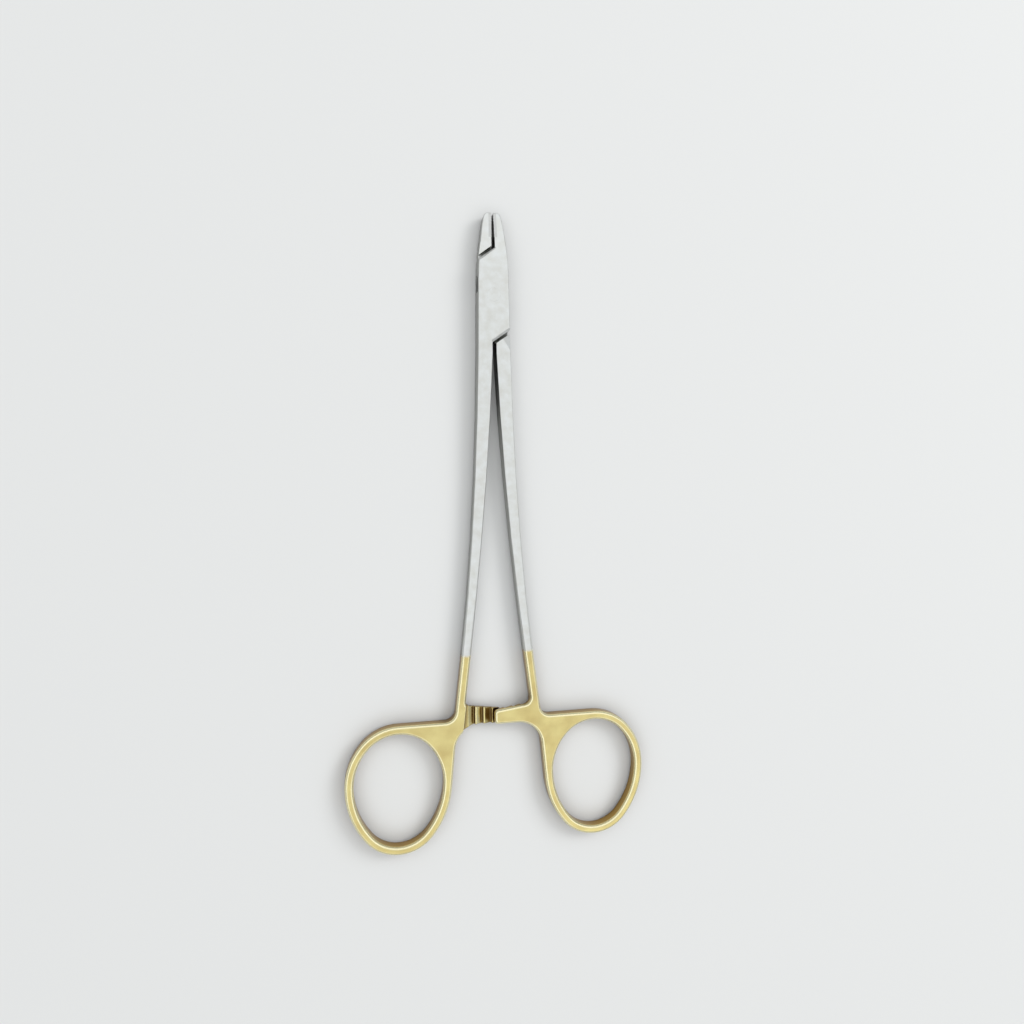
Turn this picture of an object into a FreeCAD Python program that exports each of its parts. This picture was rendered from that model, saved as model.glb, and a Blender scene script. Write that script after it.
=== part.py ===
import FreeCAD, Part
import math
import os

# Wire twisting forceps: two forged halves crossing in a box lock, two carbide jaw inserts, one pin.
# Millimetres. The pivot axis is Z. The jaws point along +Y and the finger rings lie at -Y.
# Everything is drawn about the mid plane of the instrument and lifted onto z = 0 at the end.

# Box lock
lock_thick = 4.6           # height of the box lock, front face to back face
lock_half_width = 3.78     # half width at the pivot
diagonal_angle = 35.0      # slant of the plate ends, in degrees from square
diagonal_reach = 9.1       # square distance from the pivot to a slanted plate end
shoulder_gap = 0.72        # open gap between a plate end and the shoulder facing it
bevel_width = 0.55         # ground bevel along each slanted plate end
bevel_depth = 0.38
facet_along_shoulder = 2.2     # triangular facet ground on each shoulder's outer corner
facet_along_jaw = 4.8
facet_along_shank = 4.3
facet_depth = 0.9
steel_round = 0.22         # softened edge of the lock and jaws

# Tang of the inner half, in the slot of the outer half
tang_thick = 2.0
tang_face_clearance = 0.04     # above and below the tang
hub_radius = 2.6
hub_clearance = 0.08
slot_side_clearance = 0.2      # beside the tang, on the closing side
tang_relief_angle = 36.0       # flank of the tang's relief, from the instrument's long axis
opening_angle = 40.0           # how far the halves swing apart before the tang meets its stop
stop_allowance = 0.4           # degrees left at that stop

# Pivot pin, peened into both plates and ground flush
pin_radius = 1.3
pin_running_clearance = 0.03
pin_head_radius = 1.65
pin_head_depth = 0.45

# Jaws
tip_y = 19.9
jaw_side_points = [(3.52, 8.5), (2.8, 15.0), (2.2, 18.5)]
jaw_tip_shoulder_x = 1.0
jaw_tip_slope = 0.25       # inward lean of the jaw's side where its tip corner begins
jaw_tip_fullness = 0.8     # how far the rounding of that corner reaches into it
tip_thick = 2.5
jaw_taper_start = 9.4
jaw_taper_blend = 2.5
tip_gap = 0.3              # between the gripping faces at the tip, as the instrument lies
insert_root_gap = 0.6      # between them where the inserts end
relief_gap = 0.86          # between the jaws behind the inserts
insert_length = 6.0
insert_thick = 0.75
insert_corner_round = 0.4
serration_pitch = 0.5
serration_depth = 0.12
serration_land = 0.1

# Shanks
shank_top_y = -14.0
shank_top_x = 2.22
shank_top_width = 3.56
shank_join_y = -90.0       # here the shank runs on into the gilded handle
shank_join_x = 8.12
shank_join_slope = 0.124
# fraction of the way down, width, thickness, radius of the softened edges
shank_stations = [(0.2, 3.2, 4.15, 0.25),
                  (0.4, 2.84, 3.75, 0.3),
                  (0.6, 2.52, 3.45, 0.38),
                  (0.8, 2.28, 3.4, 0.52)]

# Handles
handle_thick = 3.6
handle_round = 0.8         # radius that the three flats along each rim wrap
stub_width = 2.24
ring_x = 24.75
ring_y = -118.4            # level of the widest part of the finger hole
hole_half_width = 10.85
hole_rise = 12.3
hole_rise_pinch = 0.0876   # how much tighter than its half width the hole's upper end is rounded
hole_drop = 15.15
hole_drop_pinch = 0.2258   # and its lower end
ring_wall = 2.1
web_lean = 5.6             # lean of the straight inner flank, in degrees from the long axis
flank_sweep_radius = 6.0
crotch_radius = 2.6
bar_inner_radius = 1.6

# Ratchet
bar_tip_x = -1.0
bar_tip_y = -101.9
bar_rise = 0.13
bar_bottom_y = -105.4
bar_corner_radius = 0.95
bar_face_clearance = 0.03  # from the mid plane to the crests, on each bar
bar_step_offset = 0.1
tooth_pitch = 2.1
tooth_count = 4
first_crest_x = -0.8
tooth_land = 0.25
tooth_steep_run = 0.25
tooth_root_flat = 0.15
tooth_depth = 0.75

# Worked out from the sizes above
reach = 2 * (tip_y - shank_top_y)      # longer than any cut has to be
diagonal = math.radians(diagonal_angle)
diagonal_along = FreeCAD.Vector(math.cos(diagonal), math.sin(diagonal), 0)
diagonal_square = FreeCAD.Vector(-math.sin(diagonal), math.cos(diagonal), 0)
half_thick = lock_thick / 2
shoulder_distance = diagonal_reach + shoulder_gap
shank_half_gap = shank_top_x - shank_top_width / 2
shank_top_outer_x = shank_top_x + shank_top_width / 2
insert_root_y = tip_y - insert_length
join_tilt = math.atan(shank_join_slope)
join_down = FreeCAD.Vector(math.sin(join_tilt), -math.cos(join_tilt), 0)
join_outward = FreeCAD.Vector(math.cos(join_tilt), math.sin(join_tilt), 0)
join_centre = FreeCAD.Vector(shank_join_x, shank_join_y, 0)

# How far a face's normal rises towards the front: of a side, of a flat ground along a rim, of a front face
side_rise = (0.0, 0.02)
ground_rise = (0.5, 0.9)
front_rise = (0.9, 1.0)


def point(x, y, z=0.0):
    return FreeCAD.Vector(x, y, z)


def line(start, end):
    return Part.LineSegment(start, end).toShape()


def polygon_face(points):
    return Part.Face(Part.makePolygon(points + [points[0]]))


def plan_prism(points, half_height):
    """A flat outline given by (x, y) pairs, as thick as stated on both sides of the mid plane."""
    face = polygon_face([point(x, y, -half_height) for x, y in points])
    return face.extrude(point(0, 0, 2 * half_height))


def half_turn(shape):
    """The shape turned half round the pivot axis."""
    turned = shape.copy()
    turned.rotate(point(0, 0), point(0, 0, 1), 180)
    return turned


def other_half(shape):
    """The shape turned half round the instrument's long axis, from the right half to the left."""
    turned = shape.copy()
    turned.rotate(point(0, 0), point(0, 1, 0), 180)
    return turned


def mirror_sideways(shape):
    return shape.mirror(point(0, 0), point(1, 0, 0))


def mirror_flat(shape):
    return shape.mirror(point(0, 0), point(0, 0, 1))


def crossing(start, direction, other, other_direction):
    """Where two lines of the plan meet."""
    turn = direction.x * other_direction.y - direction.y * other_direction.x
    gap = other - start
    along = (gap.x * other_direction.y - gap.y * other_direction.x) / turn
    return start + direction * along


def plate_end_y(x, distance):
    """Level at x of the upper slanted line that lies this far from the pivot."""
    return (distance + x * math.sin(diagonal)) / math.cos(diagonal)


def edges_between(shape, lower, higher, skip):
    """Edges between faces whose normals rise by such shares, apart from those at skipped places."""
    found = []
    for edge in shape.Edges:
        faces = shape.ancestorsOfType(edge, Part.Face)
        if len(faces) != 2 or skip(edge.CenterOfMass):
            continue
        rise = [abs(face.normalAt(*face.Surface.parameter(face.CenterOfMass)).z) for face in faces]
        if lower[0] <= min(rise) <= lower[1] and higher[0] <= max(rise) <= higher[1]:
            found.append(edge)
    return found


def softened_steps(radius):
    """Corners of three flats that wrap an arc: each one's distance from the side and from the front."""
    start = radius * (1 - math.tan(math.pi / 16))
    wide = radius * (2 - math.sqrt(2))
    near = (start - wide) * math.sqrt(0.5)
    return [(0, start), (near, wide - near), (wide - near, near), (start, 0)]


def soften(shape, radius, skip):
    """Grinds the rims between the sides and the front and back in three narrow flats round an arc."""
    start = softened_steps(radius)[0][1]
    wide = radius * (2 - math.sqrt(2))
    shape = shape.makeChamfer(wide, edges_between(shape, side_rise, front_rise, skip))
    borders = edges_between(shape, side_rise, ground_rise, skip)
    borders += edges_between(shape, ground_rise, front_rise, skip)
    return shape.makeChamfer(start - wide, borders)


# Box lock and jaws

def lock_outline():
    """Right half of the plan of the closed lock and jaws, from the shank's upper end to the tip."""
    side_low = point(shank_top_outer_x, shank_top_y)
    side_mid = point(lock_half_width, 0)
    side_points = [side_mid] + [point(x, y) for x, y in jaw_side_points]
    last = side_points[-1]
    tip = point(jaw_tip_shoulder_x, tip_y)
    corner = last + point(-jaw_tip_slope, 1) * (tip_y - last.y)
    side = Part.BSplineCurve()
    side.interpolate(side_points, InitialTangent=side_mid - side_low, FinalTangent=corner - last)
    rounding = Part.BezierCurve()
    rounding.setPoles([last, last + (corner - last) * jaw_tip_fullness,
                       tip + (corner - tip) * jaw_tip_fullness, tip])
    edges = [line(side_low, side_mid),
             side.toShape(),
             rounding.toShape(),
             line(tip, point(0, tip_y)),
             line(point(0, tip_y), point(0, shank_top_y)),
             line(point(0, shank_top_y), side_low)]
    return Part.Face(Part.Wire(edges))


def lock_side_profile():
    """The lock and jaws seen from their side: full height at the lock, thinner towards the tips."""
    low_y = shank_top_y - 1
    flat_end = jaw_taper_start - jaw_taper_blend
    ramp_y = jaw_taper_start + jaw_taper_blend
    slope = (half_thick - tip_thick / 2) / (tip_y - jaw_taper_start)
    ramp_z = half_thick - slope * jaw_taper_blend
    end_y = tip_y + 1
    end_z = tip_thick / 2 - slope
    blend = Part.BezierCurve()
    blend.setPoles([point(0, flat_end, half_thick), point(0, jaw_taper_start, half_thick),
                    point(0, ramp_y, ramp_z)])
    edges = [line(point(0, low_y), point(0, low_y, half_thick)),
             line(point(0, low_y, half_thick), point(0, flat_end, half_thick)),
             blend.toShape(),
             line(point(0, ramp_y, ramp_z), point(0, end_y, end_z)),
             line(point(0, end_y, end_z), point(0, end_y)),
             line(point(0, end_y), point(0, low_y))]
    face = Part.Face(Part.Wire(edges))
    face.translate(point(-reach / 2, 0, 0))
    half = face.extrude(point(reach, 0, 0))
    return half.fuse(mirror_flat(half)).removeSplitter()


def lock_blank():
    """Lock and jaws of both halves as one closed body, with its outer edges softened."""
    half = lock_outline().extrude(point(0, 0, lock_thick))
    half.translate(point(0, 0, -half_thick))
    whole = half.fuse(mirror_sideways(half)).removeSplitter()
    whole = whole.common(lock_side_profile())
    rims = edges_between(whole, side_rise, front_rise, lambda place: place.y < shank_top_y + 0.01)
    return whole.makeFillet(steel_round, rims)


def shank_head():
    """Upper end of the right shank at full height, running on up to the middle of the lock."""
    outline = [(shank_half_gap, shank_top_y), (shank_top_outer_x, shank_top_y), (lock_half_width, 0),
               (shank_half_gap, 0)]
    head = plan_prism(outline, half_thick)
    rims = edges_between(head, side_rise, front_rise,
                         lambda place: abs(place.y) < 0.01 or place.y < shank_top_y + 0.01)
    return head.makeFillet(steel_round, rims)


def gripping_x(y):
    """Half the open gap between the jaws, at a level of the inserts."""
    share = (y - insert_root_y) / insert_length
    return (insert_root_gap + (tip_gap - insert_root_gap) * share) / 2


def jaw_boundary(side):
    """Inner face of one jaw from its root to beyond its tip, side 1 for the right and -1 for the left."""
    top_y = tip_y + 1
    distance = diagonal_reach if side > 0 else shoulder_distance
    root_x = side * relief_gap / 2
    return [(root_x, plate_end_y(root_x, distance)), (root_x, insert_root_y),
            (side * gripping_x(insert_root_y), insert_root_y), (side * gripping_x(top_y), top_y)]


def left_of_jaw(side):
    """Plan region past the upper slanted line and left of one jaw's inner face."""
    left = -reach / 2
    distance = diagonal_reach if side > 0 else shoulder_distance
    return [(left, plate_end_y(left, distance))] + jaw_boundary(side) + [(left, tip_y + 1)]


def insert_region(top_y):
    """Plan region of the right jaw's carbide insert, from its gripping face to its seat."""
    root_x = gripping_x(insert_root_y)
    return [(root_x, insert_root_y), (root_x + insert_thick, insert_root_y),
            (gripping_x(top_y) + insert_thick, top_y), (gripping_x(top_y), top_y)]


def serration_grooves():
    """Two crossing sets of V grooves in the gripping face of the right jaw's insert."""
    base = point(gripping_x(insert_root_y), insert_root_y)
    along = (point(gripping_x(tip_y), tip_y) - base).normalize()
    inward = point(along.y, -along.x)
    half_width = (serration_pitch - serration_land) / 2
    span = insert_length + tip_thick
    count = int(span / serration_pitch / math.sqrt(2)) + 1
    grooves = []
    for lean in (1, -1):
        run = (along + point(0, 0, lean)).normalize()
        across = (along - point(0, 0, lean)).normalize()
        for index in range(-count, count + 1):
            start = base + along * (insert_length / 2) + across * (index * serration_pitch) - run * span
            section = [start + across * 2 * half_width - inward * serration_depth,
                       start + inward * serration_depth,
                       start - across * 2 * half_width - inward * serration_depth]
            grooves.append(polygon_face(section).extrude(run * 2 * span))
    return grooves


def jaw_insert(blank):
    """The right jaw's carbide insert: a ground strip, rounded at the tip, with crossed serrations."""
    strip = plan_prism(insert_region(tip_y), half_thick)
    corner = point(gripping_x(tip_y), tip_y)
    strip = strip.makeFillet(insert_corner_round, upright_edges(strip, corner))
    return blank.common(strip).cut(serration_grooves())


def plate_end_bevels():
    """Wedges that grind all four slanted plate ends, drawn at the upper front one."""
    inner_x = relief_gap / 2
    inner = point(inner_x, plate_end_y(inner_x, diagonal_reach), half_thick)
    spill = 1.0
    rise = spill * bevel_depth / bevel_width
    section = [inner - diagonal_square * (bevel_width + spill) + point(0, 0, rise),
               inner + diagonal_square * spill - point(0, 0, bevel_depth + rise),
               inner + diagonal_square * spill + point(0, 0, spill)]
    wedge = polygon_face(section).extrude(diagonal_along * (-4 * lock_half_width))
    front_and_back = [wedge, mirror_flat(wedge)]
    return front_and_back + [half_turn(each) for each in front_and_back]


def shoulder_facet(corner, along_side, length_on_side):
    """Wedges that grind a shoulder's outer corner to a triangle, on both faces."""
    top = point(0, 0, half_thick)
    inward = diagonal_along * (1 if corner.x < 0 else -1)
    low = corner + top - point(0, 0, facet_depth)
    corners = [low, corner + top + inward * facet_along_shoulder, corner + top + along_side * length_on_side]
    middle = (corners[0] + corners[1] + corners[2]) * (1 / 3)
    grown = [middle + (each - middle) * 1.3 for each in corners]
    wedge = polygon_face(grown).extrude(point(0, 0, lock_thick))
    return [wedge, mirror_flat(wedge)]


def tang_arm_region(offset, relief_angle, top_y):
    """Plan region of the tang's upper arm: its straight flank, grown by offset, and its relief flank."""
    root_x = -relief_gap / 2
    root = point(root_x, plate_end_y(root_x, shoulder_distance))
    lean = math.atan2(root.y, root.x) - math.acos(hub_radius / root.Length)
    base = point(math.cos(lean), math.sin(lean)) * (hub_radius + offset)
    along = point(-math.sin(lean), math.cos(lean))
    far = base + along * ((top_y - base.y) / along.y)
    left = -lock_half_width - 1
    relief_y = -left / math.tan(math.radians(relief_angle))
    return [(0, 0), (base.x, base.y), (far.x, far.y), (left, top_y), (left, relief_y)]


def tang(blank):
    """Thin middle of the inner half: a hub with one arm to its jaw and one to its shank."""
    half = tang_thick / 2
    root_x = -relief_gap / 2
    root_y = plate_end_y(root_x, shoulder_distance)
    arm = plan_prism(tang_arm_region(0, tang_relief_angle, root_y), half)
    arm = arm.common(blank)
    return Part.makeCylinder(hub_radius, tang_thick, point(0, 0, -half)).fuse([arm, half_turn(arm)])


def slot():
    """Opening through the lock in which the tang swings, from closed to its stop."""
    half = tang_thick / 2 + tang_face_clearance
    stop = tang_relief_angle + opening_angle + stop_allowance
    arm = plan_prism(tang_arm_region(slot_side_clearance, stop, reach / 2), half)
    hub = Part.makeCylinder(hub_radius + hub_clearance, 2 * half, point(0, 0, -half))
    return hub.fuse([arm, half_turn(arm)])


def pivot_pin():
    """A rod whose ends are peened into the countersinks of both plates and ground flush."""
    profile = [point(0, 0, -half_thick), point(pin_head_radius, 0, -half_thick),
               point(pin_radius, 0, pin_head_depth - half_thick),
               point(pin_radius, 0, half_thick - pin_head_depth),
               point(pin_head_radius, 0, half_thick), point(0, 0, half_thick)]
    return polygon_face(profile).revolve(point(0, 0), point(0, 0, 1), 360)


# Shanks and handles, drawn for the right half

def shank_section(centre, across, width, thick, radius):
    """Rectangle across the shank with softened corners, always drawn round from the same corner."""
    up = point(0, 0, 1)
    places = []
    for right, upper in [(1, -1), (1, 1), (-1, 1), (-1, -1)]:
        steps = softened_steps(radius)
        if right * upper < 0:
            steps.reverse()
        for from_side, from_top in steps:
            places.append(centre + across * (right * (width / 2 - from_side))
                          + up * (upper * (thick / 2 - from_top)))
    return Part.makePolygon(places + [places[0]])


def shank_top_section():
    """Outline of the head's lower end, each corner arc cut in three where the shank's flats begin."""
    end_face = min(shank_head().Faces, key=lambda face: face.CenterOfMass.y)
    flats = len(softened_steps(steel_round)) - 1
    edges = []
    for edge in end_face.OuterWire.Edges:
        first, last = edge.ParameterRange
        parts = 1 if isinstance(edge.Curve, Part.Line) else flats
        step = (last - first) / parts
        edges += [edge.Curve.toShape(first + index * step, first + (index + 1) * step)
                  for index in range(parts)]
    return Part.Wire(Part.__sortEdges__(edges))


def shank():
    """Slender tapered bar in a long gentle curve, from the lock down to the handle."""
    length = shank_top_y - shank_join_y
    start_slope = 2 * (shank_join_x - shank_top_x) / length - shank_join_slope
    bend = (shank_join_slope - start_slope) / (2 * length)
    across = point(1, 0)
    sections = [shank_top_section()]
    for share, width, thick, radius in shank_stations:
        down = share * length
        centre = point(shank_top_x + start_slope * down + bend * down ** 2, shank_top_y - down)
        sections.append(shank_section(centre, across, width, thick, radius))
    sections.append(shank_section(join_centre, join_outward, stub_width, handle_thick, handle_round))
    return Part.makeLoft(sections, True, True)


def oval_quarter(right, upper, wall, lean=0.0):
    """Side arc and end arc of a quarter of the finger hole, grown by the wall; signs choose the quarter."""
    height, pinch = (hole_rise, hole_rise_pinch) if upper > 0 else (hole_drop, hole_drop_pinch)
    end_radius = hole_half_width * (1 - pinch)
    end_y = height - end_radius
    beyond = (hole_half_width ** 2 + end_y ** 2 - end_radius ** 2) / (2 * (hole_half_width - end_radius))
    beyond = beyond - hole_half_width

    def arc(centre_x, centre_y, radius, first, last):
        places = []
        for angle in (first, (first + last) / 2, last):
            x = centre_x + radius * math.cos(angle)
            y = centre_y + radius * math.sin(angle)
            places.append(point(ring_x + right * x, ring_y + upper * y))
        return Part.Arc(*places).toShape()

    joint = math.atan2(end_y, beyond)
    side = arc(-beyond, 0, hole_half_width + beyond + wall, lean, joint)
    return [side, arc(0, end_y, end_radius + wall, joint, math.pi / 2)]


def handle_corners():
    """Plan corners of the handle before they are rounded, and where its inner flank touches the ring."""
    inner = join_centre - join_outward * (stub_width / 2)
    outer = join_centre + join_outward * (stub_width / 2)
    bar_tip = point(bar_tip_x, bar_tip_y)
    bar_root = crossing(inner, join_down, bar_tip, point(1, bar_rise))
    lean = math.radians(web_lean)
    touch = oval_quarter(-1, -1, ring_wall, lean)[0].Vertexes[0].Point
    flank_corner = crossing(touch, point(math.sin(lean), -math.cos(lean)),
                            point(bar_tip_x, bar_bottom_y), point(1, 0))
    crotch = crossing(outer, join_down, point(ring_x, ring_y + hole_rise + ring_wall), point(1, 0))
    return inner, bar_root, bar_tip, point(bar_tip_x, bar_bottom_y), flank_corner, touch, crotch, outer


def handle_plate():
    """Finger ring, web and ratchet bar of the right half as one rounded plate."""
    inner, bar_root, bar_tip, bar_low, flank_corner, touch, crotch, outer = handle_corners()
    edges = [line(inner, bar_root), line(bar_root, bar_tip), line(bar_tip, bar_low),
             line(bar_low, flank_corner), line(flank_corner, touch)]
    edges += oval_quarter(-1, -1, ring_wall, math.radians(web_lean))
    edges += reversed(oval_quarter(1, -1, ring_wall))
    edges += oval_quarter(1, 1, ring_wall)
    edges += [line(point(ring_x, ring_y + hole_rise + ring_wall), crotch), line(crotch, outer),
              line(outer, inner)]
    hole = oval_quarter(1, 1, 0) + oval_quarter(-1, 1, 0)[::-1]
    hole += oval_quarter(-1, -1, 0) + oval_quarter(1, -1, 0)[::-1]
    up = point(0, 0, handle_thick)
    plate = Part.Face(Part.Wire(edges)).extrude(up).cut(Part.Face(Part.Wire(hole)).extrude(up))
    plate.translate(point(0, 0, -handle_thick / 2))
    rounded = [(bar_root, bar_inner_radius),
               (flank_corner, flank_sweep_radius),
               (crotch, crotch_radius),
               (bar_tip, bar_corner_radius),
               (bar_low, bar_corner_radius)]
    for corner, radius in rounded:
        plate = plate.makeFillet(radius, upright_edges(plate, corner))
    return soften(plate, handle_round, lambda place: abs((place - join_centre).dot(join_down)) < 0.01)


def upright_edges(shape, corner):
    """The upright edge that stands at a corner of the plan."""
    found = []
    for edge in shape.Edges:
        ends = [vertex.Point - corner for vertex in edge.Vertexes]
        if len(ends) == 2 and all(math.hypot(end.x, end.y) < 0.01 for end in ends):
            found.append(edge)
    return found


def ratchet_recess():
    """Lower half of the bar's height, off the bar from its tip to the side of the shank."""
    inner, bar_root = handle_corners()[:2]
    edge = inner - join_outward * bar_step_offset
    span = flank_sweep_radius * 2
    high = crossing(edge, join_down, bar_root + point(0, span / 2), point(1, 0))
    low = crossing(edge, join_down, bar_root - point(0, span), point(1, 0))
    outline = [(high.x, high.y), (bar_tip_x - span, high.y), (bar_tip_x - span, low.y), (low.x, low.y)]
    face = polygon_face([point(x, y, bar_face_clearance) for x, y in outline])
    return face.extrude(point(0, 0, -handle_thick))


def ratchet_grooves():
    """Saw-tooth gaps across the lower face of the bar, steep on the side of the shank."""
    low_y = bar_bottom_y - flank_sweep_radius
    grooves = []
    for index in range(tooth_count):
        near = first_crest_x + index * tooth_pitch + tooth_land / 2
        far = near + tooth_pitch - tooth_land
        root = bar_face_clearance + tooth_depth
        outline = [(near, -handle_thick), (near, bar_face_clearance), (near + tooth_steep_run, root),
                   (near + tooth_steep_run + tooth_root_flat, root), (far, bar_face_clearance),
                   (far, -handle_thick)]
        face = polygon_face([point(x, low_y, z) for x, z in outline])
        grooves.append(face.extrude(point(0, 2 * flank_sweep_radius, 0)))
    return grooves


def handle():
    """Right handle, its ratchet bar above the mid plane with the teeth facing down."""
    return handle_plate().cut([ratchet_recess()] + ratchet_grooves())


# The pieces

def past_line(distance):
    """Plan region above the upper slanted line at this distance from the pivot."""
    side = reach / 2
    return [(-side, plate_end_y(-side, distance)), (side, plate_end_y(side, distance)), (side, reach),
            (-side, reach)]


def before_line(distance):
    """Plan region below the upper slanted line at this distance from the pivot."""
    side = reach / 2
    return [(-side, plate_end_y(-side, distance)), (side, plate_end_y(side, distance)), (side, -reach),
            (-side, -reach)]


def box_half(blank, arm, insert_seat):
    """Outer half: shank, box with its two plates, and right jaw."""
    box = blank.cut([half_turn(plan_prism(past_line(diagonal_reach), half_thick)),
                     plan_prism(left_of_jaw(1), half_thick)])
    box = box.fuse(mirror_sideways(shank_head()))
    box = box.cut(plate_end_bevels() + [slot(), pivot_pin(), insert_seat])
    return box.fuse(other_half(arm)).removeSplitter()


def tang_half(blank, arm, insert_seat):
    """Inner half: shank, thin tang through the box, and left jaw."""
    head = shank_head().cut(half_turn(plan_prism(before_line(shoulder_distance), half_thick)))
    jaw = blank.common(plan_prism(left_of_jaw(-1), half_thick))
    side_low = point(shank_top_outer_x, shank_top_y)
    up_side = point(lock_half_width, 0) - side_low
    shank_corner = crossing(side_low, up_side, diagonal_square * -shoulder_distance, diagonal_along)
    low_jaw, high_jaw = [point(-x, y) for x, y in jaw_side_points[:2]]
    jaw_corner = crossing(low_jaw, high_jaw - low_jaw, diagonal_square * shoulder_distance, diagonal_along)
    head = head.cut(shoulder_facet(shank_corner, up_side.normalize() * -1, facet_along_shank))
    jaw = jaw.cut(shoulder_facet(jaw_corner, (high_jaw - low_jaw).normalize(), facet_along_jaw))
    bore = Part.makeCylinder(pin_radius + pin_running_clearance, lock_thick, point(0, 0, -half_thick))
    body = tang(blank).fuse([head, jaw]).cut([bore, mirror_sideways(insert_seat)])
    return body.fuse(arm).removeSplitter()


def main():
    blank = lock_blank()
    arm = shank().fuse(handle())
    seat = plan_prism(insert_region(tip_y + 1), half_thick)
    insert = jaw_insert(blank)
    pieces = {"box_half": box_half(blank, arm, seat),
              "tang_half": tang_half(blank, arm, seat),
              "pivot_pin": pivot_pin(),
              "box_half_insert": insert,
              "tang_half_insert": mirror_sideways(insert)}
    os.makedirs("parts", exist_ok=True)
    for name, shape in pieces.items():
        shape.translate(point(0, 0, half_thick))
        solid = shape.Solids[0]
        print(name, shape.isValid(), len(shape.Solids), round(shape.Volume, 2), len(shape.Faces))
        solid.exportStep("parts/" + name + ".step")


main()
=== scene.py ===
import bpy
import math
from mathutils import Matrix, Vector

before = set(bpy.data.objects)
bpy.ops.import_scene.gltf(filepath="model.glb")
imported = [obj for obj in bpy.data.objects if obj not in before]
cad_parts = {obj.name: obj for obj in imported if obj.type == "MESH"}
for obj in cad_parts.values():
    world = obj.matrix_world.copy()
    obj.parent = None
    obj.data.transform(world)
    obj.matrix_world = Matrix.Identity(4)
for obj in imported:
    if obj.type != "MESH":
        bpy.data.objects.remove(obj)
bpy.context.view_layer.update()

# The camera looks down on the instrument from a little left of it, turned slightly off square.
# The frame is square, so the lens follows from the focal length that the photograph's perspective gives.
mm = 0.001
camera_place = Vector((-36.72, -45.63, 188.73)) * mm
looked_at = Vector((4.82, -52.92, 0.0)) * mm
camera_roll = math.radians(0.69)
sensor_width = 36.0
picture_width = 1024
focal_length_px = 768.3

camera_data = bpy.data.cameras.new("camera")
camera_data.sensor_width = sensor_width
camera_data.lens = sensor_width * focal_length_px / picture_width
camera_data.clip_start = 10 * mm
camera = bpy.data.objects.new("camera", camera_data)
bpy.context.scene.collection.objects.link(camera)
view_direction = (looked_at - camera_place).normalized()
picture_up = (Vector((0, 1, 0)) - view_direction * view_direction.y).normalized()
picture_right = view_direction.cross(picture_up)
turn = Matrix((picture_right, picture_up, -view_direction)).transposed()
camera.matrix_world = (Matrix.Translation(camera_place)
                       @ Matrix.Rotation(camera_roll, 4, view_direction)
                       @ turn.to_4x4())
bpy.context.scene.camera = camera
bpy.context.scene.view_settings.view_transform = "Standard"


# The floor: a plain sheet of pale matt card, three metres square, that the instrument lies on. It isn't
# part of the object. It lies a hair lower than the instrument, so that no two faces coincide.
floor_reach = 1.5
floor_drop = 0.02 * mm
card_colour = "#dddedd"
card_roughness = 0.9
card_gloss = 0.2


def linear_colour(hex_colour):
    """The linear colour of an sRGB hex value such as #d9d9d6."""
    channels = []
    for start in (1, 3, 5):
        value = int(hex_colour[start:start + 2], 16) / 255
        channels.append(value / 12.92 if value <= 0.04045 else ((value + 0.055) / 1.055) ** 2.4)
    return (*channels, 1.0)


def add_node(tree, kind, sockets=None, stops=(), **settings):
    """Adds a node with its settings. A socket takes a value, or the output that is linked to it, and a
    colour ramp takes its stops, each a position and a colour."""
    node = tree.nodes.new(kind)
    for name, value in settings.items():
        setattr(node, name, value)
    for socket, value in (sockets or {}).items():
        if isinstance(value, bpy.types.NodeSocket):
            tree.links.new(value, node.inputs[socket])
        else:
            node.inputs[socket].default_value = value
    for index, (position, colour) in enumerate(stops):
        ramp = node.color_ramp.elements
        stop = ramp[index] if index < 2 else ramp.new(position)
        stop.position = position
        stop.color = colour
    return node


def new_material(name):
    """An empty node material of that name."""
    material = bpy.data.materials.new(name)
    material.use_nodes = True
    material.node_tree.nodes.clear()
    return material


def matt_card():
    """Pale grey-white card, quite matt: it gives no reflection, only soft shadows."""
    material = new_material("matt_card")
    tree = material.node_tree
    shader = add_node(tree, "ShaderNodeBsdfPrincipled",
                      {"Base Color": linear_colour(card_colour), "Roughness": card_roughness,
                       "Specular IOR Level": card_gloss})
    add_node(tree, "ShaderNodeOutputMaterial", {"Surface": shader.outputs["BSDF"]})
    return material


corners = [(x * floor_reach, y * floor_reach, 0) for x, y in ((-1, -1), (1, -1), (1, 1), (-1, 1))]
floor_mesh = bpy.data.meshes.new("floor")
floor_mesh.from_pydata(corners, [], [(0, 1, 2, 3)])
floor_mesh.materials.append(matt_card())
floor = bpy.data.objects.new("floor", floor_mesh)
floor.location.z = -floor_drop
bpy.context.scene.collection.objects.link(floor)

# The studio: a white dome, brightest in a ring between the horizon and the top, which draws a pale line
# along every rounded edge, and one soft box at the upper right, whose soft shadows fall to the left.
# The metal doesn't mirror the soft box. The camera sees an even pale backdrop in place of the dome.
soft_box_width = 0.6
soft_box_power = 5.5
soft_box_place = Vector((0.9, 0.45, 0.85))
middle = Vector((0, -58, 0)) * mm
lamp = bpy.data.lights.new("right_soft_box", "AREA")
lamp.shape = "SQUARE"
lamp.size = soft_box_width
lamp.energy = soft_box_power
soft_box = bpy.data.objects.new("right_soft_box", lamp)
bpy.context.scene.collection.objects.link(soft_box)
soft_box.location = soft_box_place
soft_box.rotation_euler = (middle - soft_box_place).to_track_quat("-Z", "Y").to_euler()
soft_box.visible_glossy = False

# each height on the dome, from 0 at the horizon to 1 at the top, and the light there
dome_by_height = ((0.0, 0.33), (0.5, 0.6), (0.68, 1.4), (0.84, 1.3), (0.93, 1.0))
ring_light = 1.4
dome_colour = "#f7f8f9"
backdrop_light = 0.88


def grey(value):
    """The linear grey of that value, from 0, black, to 1, white."""
    return (value, value, value, 1.0)


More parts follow.
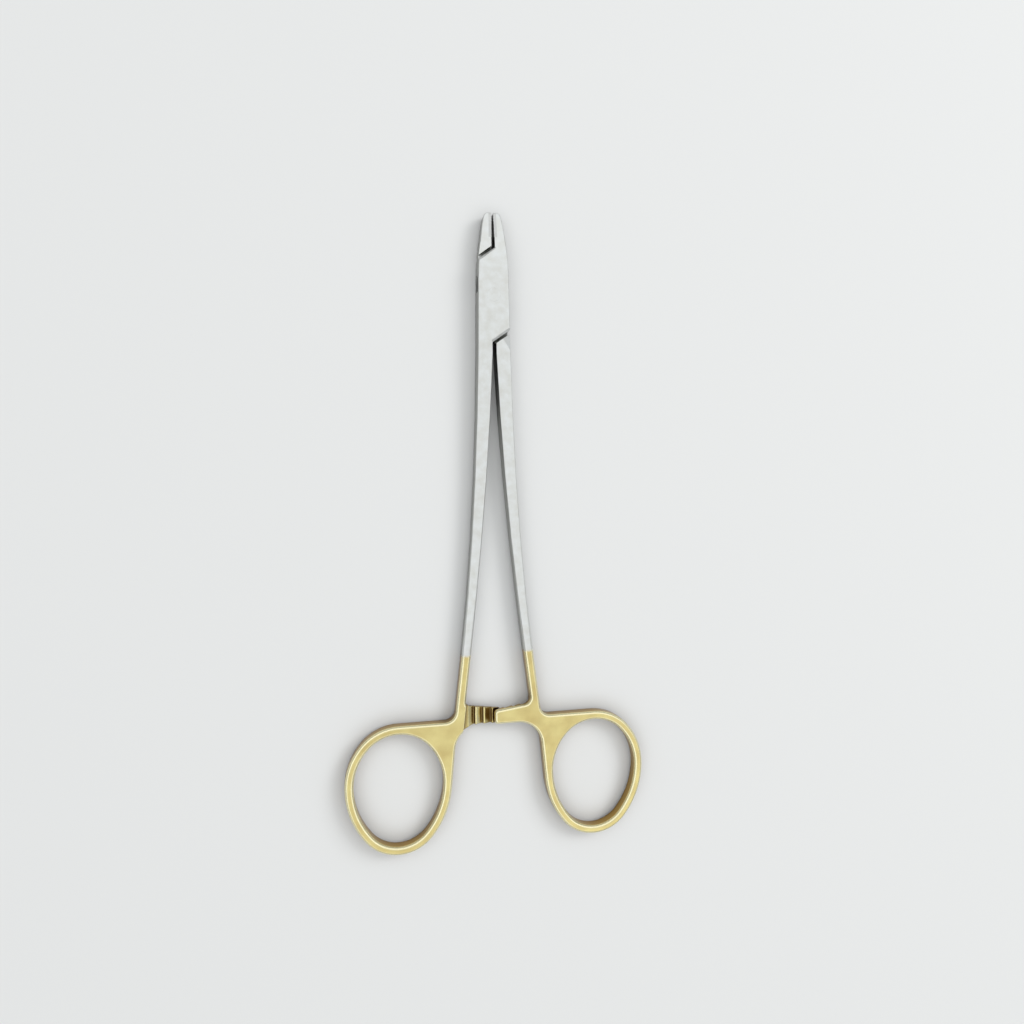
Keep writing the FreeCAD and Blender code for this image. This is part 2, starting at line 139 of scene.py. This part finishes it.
room = bpy.data.worlds.new("room")
room.use_nodes = True
room_tree = room.node_tree
room_tree.nodes.clear()
direction = add_node(room_tree, "ShaderNodeTexCoord").outputs["Generated"]
upward = add_node(room_tree, "ShaderNodeSeparateXYZ", {"Vector": direction}).outputs["Z"]
dome_stops = [(height, grey(light / ring_light)) for height, light in dome_by_height]
dome = add_node(room_tree, "ShaderNodeValToRGB", {"Fac": upward}, stops=dome_stops)
strength = add_node(room_tree, "ShaderNodeMath", {0: dome.outputs["Color"], 1: ring_light},
                    operation="MULTIPLY").outputs["Value"]
seen = add_node(room_tree, "ShaderNodeLightPath").outputs["Is Camera Ray"]
strength = add_node(room_tree, "ShaderNodeMix",
                    {"Factor": seen, "A": strength, "B": backdrop_light}).outputs["Result"]
room_light = add_node(room_tree, "ShaderNodeBackground",
                      {"Color": linear_colour(dome_colour), "Strength": strength})
add_node(room_tree, "ShaderNodeOutputWorld", {"Surface": room_light.outputs["Background"]})
bpy.context.scene.world = room

# The two halves: each is one forging of martensitic stainless steel, milled, ground and bead-blasted to a
# satin, with the handle polished and gold plated up to the lower end of the shank.
# Sizes on the pieces are in millimetres.
blotch_size = 2.2
dimple_size = 0.3
dimple_depth = 0.008
steel_roughness_low, steel_roughness_high = 0.36, 0.46
steel_cool, steel_warm = "#e2e5e4", "#d5d6d1"
# painted shade: the steel's flanks and its hollows are drawn in these darker greys
steel_painted_flank_shade, steel_painted_shade = "#a9aaa6", "#34352f"

gold_tone_size = 5.0
gold_wave_size = 4.0
gold_wave_depth = 0.1
gold_roughness = 0.2
gold_pale, gold_deep = "#e2d493", "#cebb7e"
# the gold's paler rims are partly wear and partly a painted highlight; its flank and hollow colours are
# painted shade
gold_worn_and_highlit, gold_painted_flank_shade, gold_painted_shade = "#f6efc4", "#ab8a46", "#5a370a"

plating_edge_y = -87.8
plating_lean = 0.033
plating_ripple_size = 0.8
plating_ripple = 0.3
plating_feather_top, plating_feather_bottom = 0.7, -0.2

# a noise pattern lies mostly between these two
noise_low, noise_high = 0.3, 0.7

# an open place is 1 and a closed one is 0: where each metal is as dark as its painted shade, where it is as
# pale as its fronts, and where a rim starts to show its wear and painted highlight and shows it in full
hollow_reach = 3.0
steel_dark_at, steel_pale_at = 0.34, 0.74
gold_dark_at, gold_pale_at = 0.44, 1.0
wear_and_highlight_starts_at, wear_and_highlight_full_at = 0.86, 0.97

# a flat place is 1 and an upright one is 0: where a flank's painted shade starts and is full, and how
# much wear and painted highlight a rim has
rim_radius = 0.35
flank_shade_starts_at, flank_shade_full_at = 0.4, 0.15
wear_and_highlight_by_slope = ((0.3, 0.0), (0.5, 1.0), (0.93, 1.0), (0.99, 0.0))


def satin_steel_with_gold_handles():
    """Near-white satin steel with a fine grain, and smooth pale gold below the plating's edge."""
    material = new_material("bead_blasted_stainless_steel_and_gold_plate")
    tree = material.node_tree

    # the place on the piece in millimetres, so that each pattern's scale is a real size
    place = add_node(tree, "ShaderNodeTexCoord").outputs["Object"]
    place = add_node(tree, "ShaderNodeVectorMath", {0: place, "Scale": 1 / mm},
                     operation="SCALE").outputs["Vector"]

    # how open each place is to the light: gaps, tooth hollows and corners come out dark, as painted shade
    openness = add_node(tree, "ShaderNodeAmbientOcclusion", {"Distance": hollow_reach * mm},
                        samples=12).outputs["AO"]

    # the slope of each place: the flanks are painted darker than the fronts, as painted shade, and the gold
    # on the rims is painted a paler, brighter line, partly wear from the hand and partly a painted highlight
    rounded = add_node(tree, "ShaderNodeBevel", {"Radius": rim_radius * mm}, samples=6).outputs["Normal"]
    slope = add_node(tree, "ShaderNodeSeparateXYZ", {"Vector": rounded}).outputs["Z"]
    slope = add_node(tree, "ShaderNodeMath", {0: slope}, operation="ABSOLUTE").outputs["Value"]
    painted_flank_shade = add_node(tree, "ShaderNodeMapRange",
                     {"Value": slope, "From Min": flank_shade_starts_at, "From Max": flank_shade_full_at},
                     interpolation_type="SMOOTHSTEP").outputs["Result"]
    rim_wear_and_highlight = add_node(tree, "ShaderNodeValToRGB", {"Fac": slope},
                   stops=[(place_on_slope, grey(wear_and_highlight_level)) for place_on_slope, wear_and_highlight_level in wear_and_highlight_by_slope])

    # bead blasting: soft warm and cool blotches a few millimetres wide on near-white steel; the dimples
    # are under 0.1 mm and are drawn at 0.3 mm so that they show
    blotches = add_node(tree, "ShaderNodeTexNoise", {"Vector": place, "Scale": 1 / blotch_size,
                                                     "Detail": 4.0, "Roughness": 0.6}).outputs["Fac"]
    blasted = add_node(tree, "ShaderNodeValToRGB", {"Fac": blotches},
                       stops=((noise_low, linear_colour(steel_warm)),
                              (noise_high, linear_colour(steel_cool))))
    # painted shade: the upright flanks of the steel are drawn darker than its fronts
    steel = add_node(tree, "ShaderNodeMix",
                     {"Factor": painted_flank_shade, "A": blasted.outputs["Color"], "B": linear_colour(steel_painted_flank_shade)},
                     data_type="RGBA").outputs["Result"]
    # painted shade: the steel goes dark grey in gaps, hollows and corners, where little light reaches
    steel_open = add_node(tree, "ShaderNodeMapRange",
                          {"Value": openness, "From Min": steel_dark_at, "From Max": steel_pale_at},
                          interpolation_type="SMOOTHSTEP").outputs["Result"]
    steel = add_node(tree, "ShaderNodeMix",
                     {"Factor": steel_open, "A": linear_colour(steel_painted_shade), "B": steel},
                     data_type="RGBA").outputs["Result"]
    steel_roughness = add_node(tree, "ShaderNodeMapRange",
                               {"Value": blotches, "From Min": noise_low, "From Max": noise_high,
                                "To Min": steel_roughness_low,
                                "To Max": steel_roughness_high}).outputs["Result"]
    dimples = add_node(tree, "ShaderNodeTexNoise",
                       {"Vector": place, "Scale": 1 / dimple_size}).outputs["Fac"]

    # gold plate: pale and even on the lands, paler on the rims with wear and a painted highlight, and
    # painted brown shade where light doesn't reach
    tone = add_node(tree, "ShaderNodeTexNoise",
                    {"Vector": place, "Scale": 1 / gold_tone_size}).outputs["Fac"]
    land = add_node(tree, "ShaderNodeValToRGB", {"Fac": tone},
                    stops=((noise_low, linear_colour(gold_deep)), (noise_high, linear_colour(gold_pale))))
    # the paler rims are partly wear and partly a painted highlight, drawn on open, rounded rims
    out_in_the_open = add_node(tree, "ShaderNodeMapRange",
                               {"Value": openness, "From Min": wear_and_highlight_starts_at,
                                "From Max": wear_and_highlight_full_at}).outputs["Result"]
    worn_and_highlit = add_node(tree, "ShaderNodeMath", {0: rim_wear_and_highlight.outputs["Color"], 1: out_in_the_open},
                    operation="MULTIPLY").outputs["Value"]
    gold = add_node(tree, "ShaderNodeMix",
                    {"Factor": worn_and_highlit, "A": land.outputs["Color"], "B": linear_colour(gold_worn_and_highlit)},
                    data_type="RGBA").outputs["Result"]
    # painted shade: the upright flanks of the gold are drawn darker, in brown
    gold = add_node(tree, "ShaderNodeMix", {"Factor": painted_flank_shade, "A": gold, "B": linear_colour(gold_painted_flank_shade)},
                    data_type="RGBA").outputs["Result"]
    # painted shade: the gold goes dark brown in gaps, hollows and corners, where little light reaches
    gold_open = add_node(tree, "ShaderNodeMapRange",
                         {"Value": openness, "From Min": gold_dark_at, "From Max": gold_pale_at},
                         interpolation_type="SMOOTHSTEP").outputs["Result"]
    gold = add_node(tree, "ShaderNodeMix",
                    {"Factor": gold_open, "A": linear_colour(gold_painted_shade), "B": gold},
                    data_type="RGBA").outputs["Result"]
    waves = add_node(tree, "ShaderNodeTexNoise", {"Vector": place, "Scale": 1 / gold_wave_size,
                                                  "Detail": 1.0}).outputs["Fac"]

    # the plating's edge, feathered over nearly a millimetre and a little uneven; the bath stood a little
    # higher on the right-hand shank
    across_and_up = add_node(tree, "ShaderNodeSeparateXYZ", {"Vector": place})
    height = add_node(tree, "ShaderNodeMath",
                      {0: across_and_up.outputs["X"], 1: -plating_lean, 2: across_and_up.outputs["Y"]},
                      operation="MULTIPLY_ADD").outputs["Value"]
    ripple = add_node(tree, "ShaderNodeTexNoise",
                      {"Vector": place, "Scale": 1 / plating_ripple_size}).outputs["Fac"]
    height = add_node(tree, "ShaderNodeMath", {0: ripple, 1: plating_ripple, 2: height},
                      operation="MULTIPLY_ADD").outputs["Value"]
    plated = add_node(tree, "ShaderNodeMapRange",
                      {"Value": height, "From Min": plating_edge_y + plating_feather_top,
                       "From Max": plating_edge_y + plating_feather_bottom},
                      interpolation_type="SMOOTHSTEP").outputs["Result"]
    colour = add_node(tree, "ShaderNodeMix", {"Factor": plated, "A": steel, "B": gold},
                      data_type="RGBA").outputs["Result"]
    roughness = add_node(tree, "ShaderNodeMix", {"Factor": plated, "A": steel_roughness,
                                                 "B": gold_roughness}).outputs["Result"]

    # the dimples stand on the steel; the gold keeps only the slow waves left by polishing, and its rims
    # are rounder than their three ground flats
    relief = add_node(tree, "ShaderNodeMix", {"Factor": plated, "A": dimples, "B": waves}).outputs["Result"]
    depth = add_node(tree, "ShaderNodeMapRange",
                     {"Value": plated, "To Min": dimple_depth * mm,
                      "To Max": gold_wave_depth * mm}).outputs["Result"]
    own_normal = add_node(tree, "ShaderNodeNewGeometry").outputs["Normal"]
    surface = add_node(tree, "ShaderNodeMix", {"Factor": plated, "A": own_normal, "B": rounded},
                       data_type="VECTOR").outputs["Result"]
    bump = add_node(tree, "ShaderNodeBump", {"Height": relief, "Distance": depth, "Strength": 1.0,
                                             "Normal": surface}).outputs["Normal"]
    shader = add_node(tree, "ShaderNodeBsdfPrincipled",
                      {"Base Color": colour, "Metallic": 1.0, "Roughness": roughness, "Normal": bump})
    add_node(tree, "ShaderNodeOutputMaterial", {"Surface": shader.outputs["BSDF"]})
    return material


def dress(node_name, material):
    """Gives a carried-over part its material."""
    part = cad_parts[node_name]
    part.data.materials.clear()
    part.data.materials.append(material)


half_material = satin_steel_with_gold_handles()
dress("box_half", half_material)
dress("tang_half", half_material)

# The pivot pin: a steel rod peened into the plates' countersinks, ground flush and then bead-blasted
# together with them, so that the same satin runs on across it and the pin hardly shows.
dress("pivot_pin", half_material)

# The jaw inserts: sintered tungsten carbide, ground, with crossed serrations on the gripping faces,
# brazed into seats in the jaws.
mottle_size = 0.6
serration_reach = 0.6
carbide_roughness_low, carbide_roughness_high = 0.32, 0.42
carbide_pale, carbide_dark, carbide_painted_shade = "#cecfcd", "#bfc0be", "#55554f"


def ground_carbide():
    """Grey metal, darker and less bright than the steel, with a fine matt grain and painted shade in the
    serrations.
    """
    material = new_material("ground_tungsten_carbide")
    tree = material.node_tree
    place = add_node(tree, "ShaderNodeTexCoord").outputs["Object"]
    place = add_node(tree, "ShaderNodeVectorMath", {0: place, "Scale": 1 / mm},
                     operation="SCALE").outputs["Vector"]
    mottle = add_node(tree, "ShaderNodeTexNoise", {"Vector": place, "Scale": 1 / mottle_size}).outputs["Fac"]
    ground = add_node(tree, "ShaderNodeValToRGB", {"Fac": mottle},
                      stops=((noise_low, linear_colour(carbide_dark)),
                             (noise_high, linear_colour(carbide_pale))))
    # painted shade: the serration hollows are darkened where little light reaches
    openness = add_node(tree, "ShaderNodeAmbientOcclusion", {"Distance": serration_reach * mm},
                        samples=8).outputs["AO"]
    colour = add_node(tree, "ShaderNodeMix",
                      {"Factor": openness, "A": linear_colour(carbide_painted_shade), "B": ground.outputs["Color"]},
                      data_type="RGBA").outputs["Result"]
    roughness = add_node(tree, "ShaderNodeMapRange",
                         {"Value": mottle, "From Min": noise_low, "From Max": noise_high,
                          "To Min": carbide_roughness_low,
                          "To Max": carbide_roughness_high}).outputs["Result"]
    shader = add_node(tree, "ShaderNodeBsdfPrincipled",
                      {"Base Color": colour, "Metallic": 1.0, "Roughness": roughness})
    add_node(tree, "ShaderNodeOutputMaterial", {"Surface": shader.outputs["BSDF"]})
    return material


insert_material = ground_carbide()
dress("box_half_insert", insert_material)
dress("tang_half_insert", insert_material)
